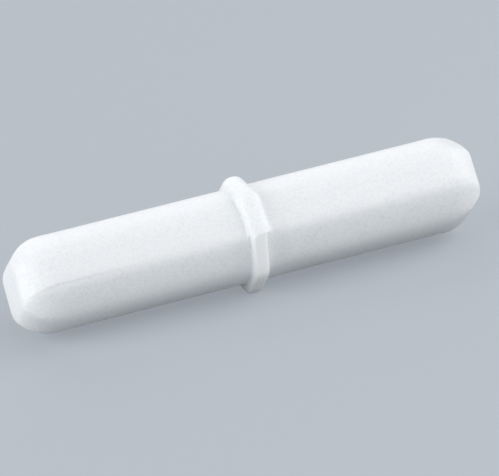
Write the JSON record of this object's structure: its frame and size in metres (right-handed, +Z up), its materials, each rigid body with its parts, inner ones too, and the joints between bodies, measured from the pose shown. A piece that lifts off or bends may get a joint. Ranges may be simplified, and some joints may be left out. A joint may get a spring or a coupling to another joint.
{
  "type": "magnetic stir bar",
  "caption": "Octagonal magnetic stir bar with domed ends and a raised pivot ring round its middle, a bar magnet sealed inside a white moulded jacket.",
  "frame": {"origin": "centre of the bar, on its long axis and in the middle of the pivot ring", "axes": "+X along the bar, +Z up, with the bar standing level on the lowest flat of its ring"},
  "size_m": [0.0636, 0.0142, 0.0142],
  "materials": {
    "jacket": "waxy matt, smooth moulded",
    "magnet_alloy": "ground cast alloy, dull grey"
  },
  "bodies": {
    "root": {"casing": "jacket", "magnet": "magnet_alloy"}
  },
  "joints": []
}
